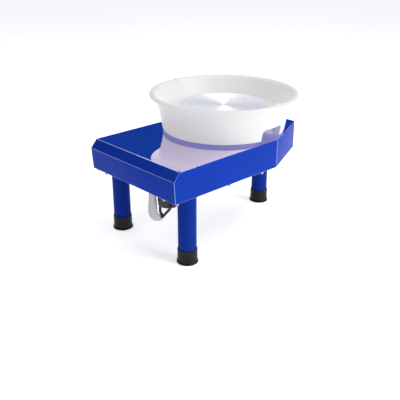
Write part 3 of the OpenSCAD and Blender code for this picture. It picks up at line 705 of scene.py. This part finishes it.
# %% Turn the two halves of the basin
FOOT_R = 171.5 * MM
LEAN_FROM = 13.5 * MM
WALL = 3.5 * MM
STAND_R = 150 * MM
STAND_H = 7 * MM
EDGE_R = 2.5 * MM
WALL_TOP_R = 186 * MM
LIP_H = 11 * MM
BEND_BELOW_RIM = 14 * MM
FLOOR_Z = PLATE_Z + 40 * MM
COLLAR_R = 56 * MM
COLLAR_Z = PLATE_Z + 51 * MM
SEAM = 0.15 * MM


def wall_radius(z):
    """The outside of the leaning wall at a height."""
    low = BASIN_Z + LEAN_FROM
    return FOOT_R + (z - low) * (WALL_TOP_R - FOOT_R) / (RIM_Z - BEND_BELOW_RIM - low)


def basin_section():
    edge_z = BASIN_Z + STAND_H
    edge_r = wall_radius(edge_z + EDGE_R) - EDGE_R
    floor_top = FLOOR_Z + WALL
    lip = LIP_H / 2
    inside = wall_radius(floor_top) - WALL
    return (
        [(STAND_R - WALL, BASIN_Z), (STAND_R - MM, BASIN_Z), (STAND_R, BASIN_Z + MM)]
        + [(STAND_R + MM, edge_z - MM), (STAND_R + 2 * MM, edge_z)]
        + arc(edge_r, edge_z + EDGE_R, EDGE_R, EDGE_R, -90, 0, 8)
        + [(WALL_TOP_R, RIM_Z - BEND_BELOW_RIM)]
        + arc(WALL_TOP_R + 3.5 * MM, RIM_Z - BEND_BELOW_RIM, 3.5 * MM, BEND_BELOW_RIM - LIP_H, 180, 90, 6)
        + arc(RIM_R - 2 * SEAM - lip, RIM_Z - lip, lip, lip, -90, 90, 18)
        + arc(RIM_R - 9 * MM, RIM_Z - 18 * MM, 12 * MM, 18 * MM, 92, 165, 12)
        + [(wall_radius(RIM_Z - 30 * MM) - WALL, RIM_Z - 30 * MM)]
        + arc(inside - 12 * MM, floor_top + 12 * MM, 12 * MM, 12 * MM, 0, -90, 12)
        + arc(COLLAR_R + WALL + 3 * MM, floor_top + 3 * MM, 3 * MM, 3 * MM, -90, -180, 5)
        + arc(COLLAR_R + WALL / 2, COLLAR_Z - WALL / 2, WALL / 2, WALL / 2, 0, 180, 8)
        + [(COLLAR_R, FLOOR_Z), (wall_radius(FLOOR_Z) - WALL, FLOOR_Z)]
        + [(wall_radius(edge_z + 2 * WALL) - WALL, edge_z + 2 * WALL), (edge_r - WALL, edge_z + WALL)]
        + [(STAND_R - WALL + MM, edge_z + WALL)]
    )


# %% [markdown]
# A hand notch in the wall lets fingers in under the floor. It is cut with a rounded block, and
# afterwards every cut edge is softened a little, as a mould would.

# %% Cut the hand notch
NOTCH_X = AXIS_X + 12 * MM
NOTCH_W = 80 * MM
NOTCH_TOP = FLOOR_Z - 1 * MM
NOTCH_CORNER = 10 * MM
NOTCH_DEPTH = 78 * MM


def notch_cutter():
    """A block with two round top corners, lying along the width of the machine."""
    half, low = NOTCH_W / 2, BASIN_Z - 5 * MM
    top = NOTCH_TOP - NOTCH_CORNER
    outline = [(-half, low), (half, low)]
    outline += arc(half - NOTCH_CORNER, top, NOTCH_CORNER, NOTCH_CORNER, 0, 90, 8)
    outline += arc(-half + NOTCH_CORNER, top, NOTCH_CORNER, NOTCH_CORNER, 90, 180, 8)
    shape = bmesh.new()
    near = [shape.verts.new((NOTCH_X + x, -RIM_R, z)) for x, z in outline]
    far = [shape.verts.new((NOTCH_X + x, -RIM_R + NOTCH_DEPTH, z)) for x, z in outline]
    shape.faces.new(near)
    shape.faces.new(list(reversed(far)))
    for i in range(len(outline)):
        j = (i + 1) % len(outline)
        shape.faces.new((near[j], near[i], far[i], far[j]))
    bmesh.ops.recalc_face_normals(shape, faces=shape.faces)
    cutter = bpy.data.objects.new("notch_cutter", to_mesh(shape, "notch_cutter"))
    SCENE.collection.objects.link(cutter)
    return cutter


def basin_half(name, node, body, start, shift, cutter):
    mesh = lathe(basin_section(), name, (AXIS_X + shift, 0), start, 180, 96)
    blank = bpy.data.objects.new("basin_blank", mesh)
    SCENE.collection.objects.link(blank)
    cut = blank.modifiers.new("notch", "BOOLEAN")
    cut.operation, cut.solver, cut.object = "DIFFERENCE", "EXACT", cutter
    soften = blank.modifiers.new("soften", "BEVEL")
    soften.width, soften.segments = 0.7 * MM, 2
    soften.limit_method, soften.angle_limit = "ANGLE", math.radians(48)
    mesh = applied(blank)
    bpy.data.objects.remove(blank)
    mesh.name = name
    smooth(mesh, 40)
    new_piece(name, mesh, body, (node,), (WHITE_PLASTIC,))
    print(name, len(mesh.polygons), "faces")


cutter = notch_cutter()
basin_half("basin_tail_bowl", "basin_tail_half", "basin_tail", 90, -SEAM, cutter)
basin_half("basin_end_bowl", "basin_end_half", "basin_end", -90, SEAM, cutter)
bpy.data.objects.remove(cutter)

# %% [markdown]
# ## The feet
#
# Each rubber cap is moulded in one piece: a flange that spreads on the floor, a band of shallow
# grip grooves, and a rolled top edge that hugs the tube.

# %% Turn the three foot caps
def foot_section(node):
    low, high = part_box(node)
    flange = (high.x - low.x) / 2
    body_r, bore, top = flange - 2.5 * MM, 24.02 * MM, high.z
    grooves = []
    for i in range(3):
        z = top - (14 + 4.5 * i) * MM
        grooves += [(body_r, z + 0.9 * MM), (body_r - 0.5 * MM, z + 0.4 * MM),
                    (body_r - 0.5 * MM, z - 0.4 * MM), (body_r, z - 0.9 * MM)]
    outside = (
        [(0, 0), (flange - 7 * MM, 0), (flange - 6 * MM, 0.6 * MM), (flange - 1.2 * MM, 0.6 * MM)]
        + arc(flange - 1.2 * MM, 1.8 * MM, 1.2 * MM, 1.2 * MM, -90, 0, 4)
        + arc(flange - 1 * MM, 4.5 * MM, 1 * MM, 1 * MM, 0, 90, 4)
        + arc(flange + 0.6 * MM, 10 * MM, 3.1 * MM, 4.5 * MM, 250, 180, 6)
        + list(reversed(grooves))
        + arc(body_r - 1.4 * MM, top - 1.4 * MM, 1.4 * MM, 1.4 * MM, 0, 90, 5)
        + [(bore, top), (bore, 8 * MM), (0, 8 * MM)]
    )
    return outside


for side in ("left", "right", "front"):
    node = f"foot_cap_{side}"
    centre = middle(node)
    mesh = lathe(foot_section(node), f"foot_boot_{side}", (centre.x, centre.y), steps=96)
    smooth(mesh)
    new_piece(f"foot_boot_{side}", mesh, "chassis", (node,), (FOOT_RUBBER,))
print("three foot caps,", len(mesh.polygons), "faces each")

# %% [markdown]
# ## The wheel head
#
# The wheel head is a cast disc that is faced on a lathe. Fine grooves every 20 mm help the
# potter to centre the clay, and the outer edge is rounded.

# %% Turn the wheel head
HEAD_T = 12 * MM
HUB_R = 35 * MM
HUB_H = 16 * MM
BORE_R = 12.52 * MM
BORE_TOP = 8 * MM
GROOVE_RADII = (25, 45, 65, 85, 105)


def head_section():
    under = HEAD_Z - HEAD_T
    hub_z = HEAD_Z - (HEAD_T + HUB_H)
    face = [(0, HEAD_Z)]
    for groove in GROOVE_RADII:
        r = groove * MM
        face += [(r - 0.7 * MM, HEAD_Z), (r - 0.25 * MM, HEAD_Z - 0.6 * MM),
                 (r + 0.25 * MM, HEAD_Z - 0.6 * MM), (r + 0.7 * MM, HEAD_Z)]
    return (
        face
        + arc(HEAD_R - 1.5 * MM, HEAD_Z - 1.5 * MM, 1.5 * MM, 1.5 * MM, 90, 0, 6)
        + arc(HEAD_R - 2 * MM, under + 2 * MM, 2 * MM, 2 * MM, 0, -90, 5)
        + arc(HUB_R + 4 * MM, under - 4 * MM, 4 * MM, 4 * MM, 90, 180, 6)
        + [(HUB_R, hub_z + 1 * MM), (HUB_R - 1 * MM, hub_z), (BORE_R, hub_z)]
        + [(BORE_R, HEAD_Z - BORE_TOP), (0, HEAD_Z - BORE_TOP)]
    )


mesh = lathe(head_section(), "turned_head", (AXIS_X, 0), steps=200)
smooth(mesh)
new_piece("turned_head", mesh, "wheel", ("wheel_head",), (TURNED_ALUMINIUM,))
print("wheel head", len(mesh.polygons), "faces")

# %% [markdown]
# ## Screws
#
# One Geometry Nodes tree makes every pan-head screw on the machine. It builds one screw from a
# flattened ball, a shank and a cross recess, and puts a copy at each given point. The points
# are the centres of the engineering model's own screws.

# %% Build the screw tree
def islands(node):
    """The box of each separate solid in an engineering part."""
    shape = bmesh.new()
    shape.from_mesh(NODES[node].data)
    bmesh.ops.remove_doubles(shape, verts=shape.verts, dist=0.005 * MM)
    boxes, seen = [], set()
    for first in shape.verts:
        if first in seen:
            continue
        seen.add(first)
        queue, group = [first], []
        while queue:
            vert = queue.pop()
            group.append(vert.co.copy())
            for edge in vert.link_edges:
                other = edge.other_vert(vert)
                if other not in seen:
                    seen.add(other)
                    queue.append(other)
        boxes.append(tuple(Vector(pick(c[i] for c in group) for i in range(3)) for pick in (min, max)))
    shape.free()
    return boxes


class Tree:
    """A Geometry Nodes tree with named inputs."""

    def __init__(self, name):
        self.tree = bpy.data.node_groups.new(name, "GeometryNodeTree")
        self.faces = self.tree.interface
        self.start = self.tree.nodes.new("NodeGroupInput")
        self.faces.new_socket("Geometry", in_out="INPUT", socket_type="NodeSocketGeometry")
        self.faces.new_socket("Geometry", in_out="OUTPUT", socket_type="NodeSocketGeometry")

    def input(self, name, kind="NodeSocketFloat"):
        self.faces.new_socket(name, in_out="INPUT", socket_type=kind)
        return self.start.outputs[name]

    def node(self, kind, settings=None, inputs=None, output=0):
        made = self.tree.nodes.new(kind)
        for key, value in (settings or {}).items():
            setattr(made, key, value)
        for key, value in (inputs or {}).items():
            for one in value if isinstance(value, list) else [value]:
                if isinstance(one, bpy.types.NodeSocket):
                    self.tree.links.new(one, made.inputs[key])
                else:
                    made.inputs[key].default_value = one
        return made.outputs[output]

    def end(self, geometry, material):
        """Real meshes in one material, as the finished piece needs."""
        real = self.node("GeometryNodeRealizeInstances", {}, {0: geometry})
        dressed = self.node("GeometryNodeSetMaterial", {}, {"Geometry": real, "Material": material})
        stop = self.tree.nodes.new("NodeGroupOutput")
        self.tree.links.new(dressed, stop.inputs[0])

    def grow(self, seed_mesh, name, **values):
        """Run the tree on a mesh and return the plain mesh that it makes."""
        seed = bpy.data.objects.new(name, seed_mesh)
        SCENE.collection.objects.link(seed)
        modifier = seed.modifiers.new("grow", "NODES")
        modifier.node_group = self.tree
        for item in self.faces.items_tree:
            if item.item_type == "SOCKET" and item.in_out == "INPUT" and item.name in values:
                modifier[item.identifier] = values[item.name]
        mesh = applied(seed)
        bpy.data.objects.remove(seed)
        mesh.name = name
        return mesh


def screw_tree():
    screws = Tree("pan_head_screws")
    radius, height = screws.input("Radius"), screws.input("Height")
    shank, length = screws.input("Shank"), screws.input("Length")
    turn = screws.input("Turn", "NodeSocketVector")
    material = screws.input("Material", "NodeSocketMaterial")

    def scaled(a, b):
        return screws.node("ShaderNodeMath", {"operation": "MULTIPLY"}, {0: a, 1: b})

    def vector(x, y, z):
        return screws.node("ShaderNodeCombineXYZ", {}, {0: x, 1: y, 2: z})

    ball = screws.node("GeometryNodeMeshUVSphere", {}, {"Segments": 40, "Rings": 20, "Radius": 1.0})
    dome = screws.node("GeometryNodeTransform", {},
                       {"Geometry": ball, "Scale": vector(radius, radius, height)})
    cap = screws.node("GeometryNodeMeshCylinder", {}, {"Vertices": 40, "Radius": 1.0, "Depth": 1.0})
    rim = screws.node("GeometryNodeTransform", {}, {
        "Geometry": cap, "Scale": vector(radius, radius, scaled(height, 2.0)),
        "Translation": vector(0.0, 0.0, height)})
    half = screws.node("GeometryNodeMeshBoolean", {"operation": "INTERSECT", "solver": "EXACT"},
                       {"Mesh 2": [dome, rim]})
    stem = screws.node("GeometryNodeTransform", {}, {
        "Geometry": cap, "Scale": vector(shank, shank, length),
        "Translation": vector(0.0, 0.0, scaled(length, -0.5))})
    block = screws.node("GeometryNodeMeshCube")
    deep = vector(scaled(radius, 1.05), scaled(radius, 0.24), height)
    bar = screws.node("GeometryNodeTransform", {}, {
        "Geometry": block, "Scale": deep, "Translation": vector(0.0, 0.0, scaled(height, 0.95))})
    across = screws.node("GeometryNodeTransform", {},
                         {"Geometry": bar, "Rotation": (0.0, 0.0, math.pi / 2)})
    head = screws.node("GeometryNodeMeshBoolean", {"operation": "DIFFERENCE", "solver": "EXACT"},
                       {"Mesh 1": half, "Mesh 2": [bar, across]})
    whole = screws.node("GeometryNodeJoinGeometry", {}, {0: [head, stem]})
    points = screws.start.outputs["Geometry"]
    placed = screws.node("GeometryNodeInstanceOnPoints", {},
                         {"Points": points, "Instance": whole, "Rotation": turn})
    screws.end(placed, material)
    return screws


SCREWS = screw_tree()

# %% [markdown]
# Each set of screws gives the tree its own size, and says which way the heads look: the cover's
# screws look at the floor and the panel's look out of the side.

# %% Put the screws in
DOWN, OUT = (math.pi, 0.0, 0.0), (-math.pi / 2, 0.0, 0.0)


def screw_set(name, node, turn, radius, height, shank, length, seat):
    """Screws whose heads rest on a seat, which is a function from a solid's box to a point."""
    mesh = bpy.data.meshes.new(name + "_points")
    mesh.from_pydata([seat(low, high) for low, high in islands(node)], [], [])
    grown = SCREWS.grow(mesh, name, Radius=radius * MM, Height=height * MM, Shank=shank * MM,
                        Length=length * MM, Turn=turn, Material=DULL_ZINC)
    smooth(grown, 35)
    new_piece(name, grown, "chassis", (node,))
    print(name, len(grown.polygons), "faces")


def under_cover(low, high):
    return ((low.x + high.x) / 2, (low.y + high.y) / 2, SCREW_SEAT_Z)


def on_panel(low, high):
    return ((low.x + high.x) / 2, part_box("control_panel")[1].y, (low.z + high.z) / 2)


SCREW_SEAT_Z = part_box("bottom_cover")[0].z
screw_set("cover_screw_heads", "cover_screws", DOWN, 4.2, 9, 2.4, 6, under_cover)
screw_set("panel_screw_heads", "panel_screws", OUT, 3.2, 1.7, 1.5, 1.4, on_panel)

# %% [markdown]
# ## The lead sheath
#
# Under the tail the motor's two leads run into a pale sheath. It drops from a grommet, swells to
# leave room for the connectors inside it, and turns up under the motor. It is a curve whose
# radius changes along its length.

# %% Sweep the sheath
SHEATH_TURN = math.radians(137)
SHEATH_OUT = 44 * MM
BEND_R = 16 * MM
BEND_TO = 115
BEND_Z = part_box("lead_conduit")[0].z + 25.5 * MM
# how thick the sheath is at each height on its straight part, in millimetres from the bend
SHEATH_SHAPE = [
    (127, 9.0), (112, 9.0), (108, 7.0), (90, 7.2), (65, 8.6), (40, 10.8), (18, 12.4), (0, 12.6),
]


def sheath_mesh():
    motor = middle("motor_case")
    way = Vector((math.cos(SHEATH_TURN), math.sin(SHEATH_TURN), 0))

    def at(out, z):
        return motor.x + way.x * out, motor.y + way.y * out, z

    points = [(at(SHEATH_OUT, BEND_Z + up * MM), radius * MM) for up, radius in SHEATH_SHAPE]
    for step in range(1, 13):
        turn = math.radians(BEND_TO * step / 12)
        place = at(SHEATH_OUT - BEND_R + BEND_R * math.cos(turn), BEND_Z - BEND_R * math.sin(turn))
        points.append((place, (12.6 - 3.6 * (step / 12) ** 1.5) * MM))
    route = bpy.data.curves.new("lead_sheath", "CURVE")
    route.dimensions = "3D"
    route.bevel_depth, route.bevel_resolution = 1.0, 8
    route.use_fill_caps = True
    route.resolution_u = 6
    line = route.splines.new("NURBS")
    line.points.add(len(points) - 1)
    line.use_endpoint_u = True
    line.order_u = 4
    for point, (place, radius) in zip(line.points, points):
        point.co, point.radius = (*place, 1), radius
    holder = bpy.data.objects.new("lead_sheath", route)
    SCENE.collection.objects.link(holder)
    mesh = applied(holder)
    bpy.data.objects.remove(holder)
    shape = bmesh.new()
    shape.from_mesh(mesh)
    bmesh.ops.remove_doubles(shape, verts=shape.verts, dist=0.01 * MM)
    bmesh.ops.recalc_face_normals(shape, faces=shape.faces)
    shape.to_mesh(mesh)
    shape.free()
    mesh.name = "lead_sheath"
    return mesh


mesh = sheath_mesh()
smooth(mesh, 40)
mesh.materials.clear()
new_piece("lead_sheath", mesh, "chassis", ("lead_conduit",), (PALE_SHEATH,))
print("sheath", len(mesh.polygons), "faces")

# %% [markdown]
# ## The speed dial
#
# Printed marks round the speed knob show how fast the wheel will turn. A second tree puts one
# small bar at each of eleven points on five sixths of a circle and turns it outwards. Every
# fifth mark is longer.

# %% Print the dial's marks
DIAL_R = 21.5 * MM
MARKS = 11
DIAL_SWEEP = math.radians(300)


def mark_tree():
    marks = Tree("dial_marks")
    long, wide = marks.input("Length"), marks.input("Width")
    thick, every = marks.input("Thickness"), marks.input("Long Every", "NodeSocketInt")
    material = marks.input("Material", "NodeSocketMaterial")
    bar = marks.node("GeometryNodeMeshCube", {}, {
        "Size": marks.node("ShaderNodeCombineXYZ", {}, {0: long, 1: thick, 2: wide})})
    number = marks.node("GeometryNodeInputIndex")
    left = marks.node("ShaderNodeMath", {"operation": "MODULO"}, {0: number, 1: every})
    major = marks.node("ShaderNodeMath", {"operation": "LESS_THAN"}, {0: left, 1: 0.5})
    size = marks.node("ShaderNodeMath", {"operation": "MULTIPLY_ADD"}, {0: major, 1: 0.5, 2: 1.0})
    angle = marks.node("GeometryNodeInputNamedAttribute", {"data_type": "FLOAT"}, {"Name": "turn"})
    placed = marks.node("GeometryNodeInstanceOnPoints", {}, {
        "Points": marks.start.outputs["Geometry"], "Instance": bar,
        "Rotation": marks.node("ShaderNodeCombineXYZ", {}, {0: 0.0, 1: angle, 2: 0.0}),
        "Scale": marks.node("ShaderNodeCombineXYZ", {}, {0: size, 1: 1.0, 2: 1.0})})
    marks.end(placed, material)
    return marks


def dial_marks():
    knob, face = middle("speed_knob"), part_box("control_panel")[1].y
    turns = [math.pi / 2 - DIAL_SWEEP / 2 + DIAL_SWEEP * i / (MARKS - 1) for i in range(MARKS)]
    mesh = bpy.data.meshes.new("dial_points")
    mesh.from_pydata([(knob.x + DIAL_R * math.cos(t), face + 0.05 * MM, knob.z + DIAL_R * math.sin(t))
                      for t in turns], [], [])
    mesh.attributes.new("turn", "FLOAT", "POINT").data.foreach_set("value", [-t for t in turns])
    white = speckled("dial_print", (0.75, 0.75, 0.74), (0.6, 0.6, 0.58), 0.5, 900, 0.00002)
    grown = mark_tree().grow(mesh, "dial_marks", Length=3.2 * MM, Width=0.8 * MM, Thickness=0.2 * MM,
                             Material=white, **{"Long Every": 5})
    new_piece("dial_marks", grown, "chassis")
    print("dial marks", len(grown.polygons), "faces")


dial_marks()
